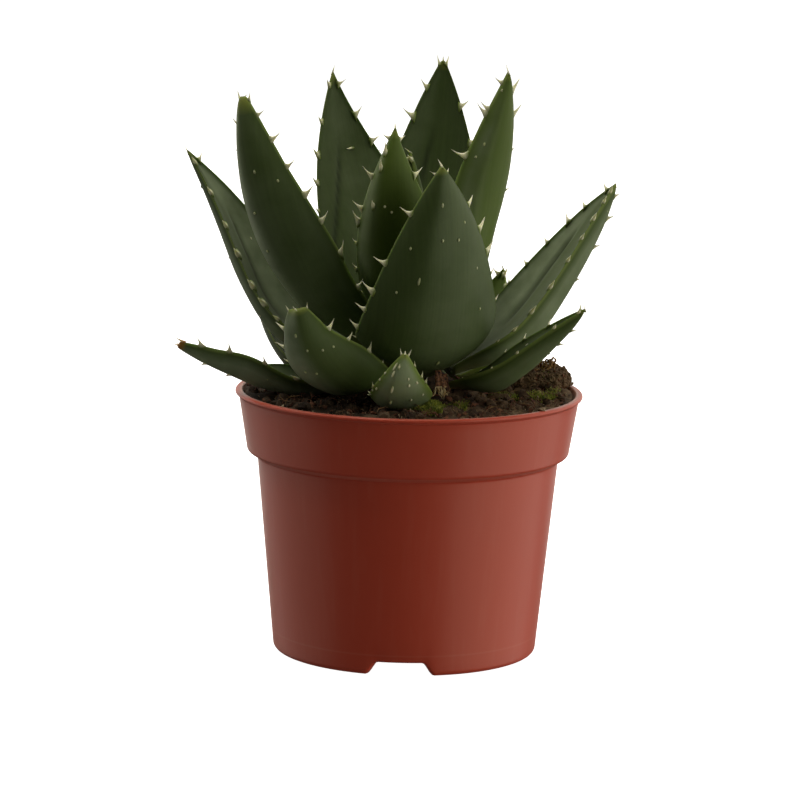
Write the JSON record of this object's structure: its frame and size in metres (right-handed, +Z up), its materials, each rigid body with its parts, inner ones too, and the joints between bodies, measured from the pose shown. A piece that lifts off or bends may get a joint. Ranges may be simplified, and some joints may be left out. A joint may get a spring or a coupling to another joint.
{
  "type": "potted_aloe",
  "caption": "Young toothed aloe rosette in a red-brown moulded plastic nursery pot filled with compost.",
  "frame": {"origin": "centre of the whole plant's bounding-box footprint, on the standing surface under the pot", "axes": "+Z up, +X to the right of the picture and +Y away from its camera"},
  "size_m": [0.1486, 0.12, 0.203],
  "materials": {
    "pot_plastic": "satin",
    "compost": "rough",
    "stem": "matte",
    "leaf": "waxy"
  },
  "bodies": {
    "root": {"pot": "pot_plastic", "compost": "compost", "stem": "stem", "leaf_01_heart": "leaf", "leaf_02_inner": "leaf", "leaf_03_back_left": "leaf", "leaf_04_right": "leaf", "leaf_05_front_left": "leaf", "leaf_06_back": "leaf", "leaf_07_front": "leaf", "leaf_08_left": "leaf", "leaf_09_right_back": "leaf", "leaf_10_low_front_left": "leaf", "leaf_11_back_far": "leaf", "leaf_12_low_right": "leaf", "leaf_13_low_left": "leaf", "leaf_14_low_back_right": "leaf", "leaf_15_low_front": "leaf", "leaf_16_low_back_left": "leaf"}
  },
  "joints": []
}
